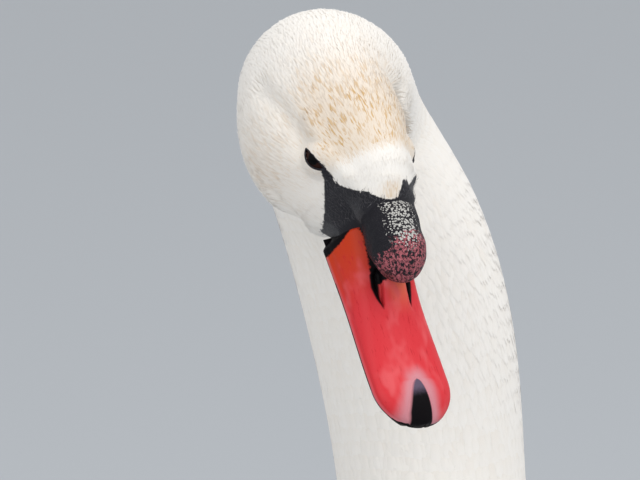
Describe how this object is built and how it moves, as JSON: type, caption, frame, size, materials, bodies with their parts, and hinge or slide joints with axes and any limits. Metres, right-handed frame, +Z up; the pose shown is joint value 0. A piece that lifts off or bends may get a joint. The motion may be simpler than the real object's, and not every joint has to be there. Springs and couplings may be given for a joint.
{
  "type": "mute swan",
  "caption": "Life-size still model of a mute swan resting on its belly, neck raised, head turned and bill held down.",
  "frame": {"origin": "on the floor, in the middle of the belly's flat", "axes": "+Z up, the swan faces -Y, +X to its left"},
  "size_m": [0.3886, 0.868, 0.7195],
  "materials": {
    "feathers": "soft white feathers",
    "eye": "wet dark brown",
    "bill_horn": "satin orange-red horn",
    "black_horn": "satin black horn",
    "bare_skin": "matt black skin with pink mottling",
    "leg_skin": "scaly dark grey skin"
  },
  "bodies": {
    "root": {"trunk": "feathers", "neck_lower": "feathers", "neck_middle": "feathers", "neck_upper": "feathers", "head": "feathers", "tail": "feathers", "wing_left": "feathers", "wing_right": "feathers", "wing_tip_left": "feathers", "wing_tip_right": "feathers", "eye_left": "eye", "eye_right": "eye", "bill_upper": "bill_horn", "bill_lower": "black_horn", "bill_nail": "black_horn", "bill_knob": "bare_skin", "leg_left": "leg_skin", "leg_right": "leg_skin", "foot_left": "leg_skin", "foot_right": "leg_skin"}
  },
  "joints": []
}
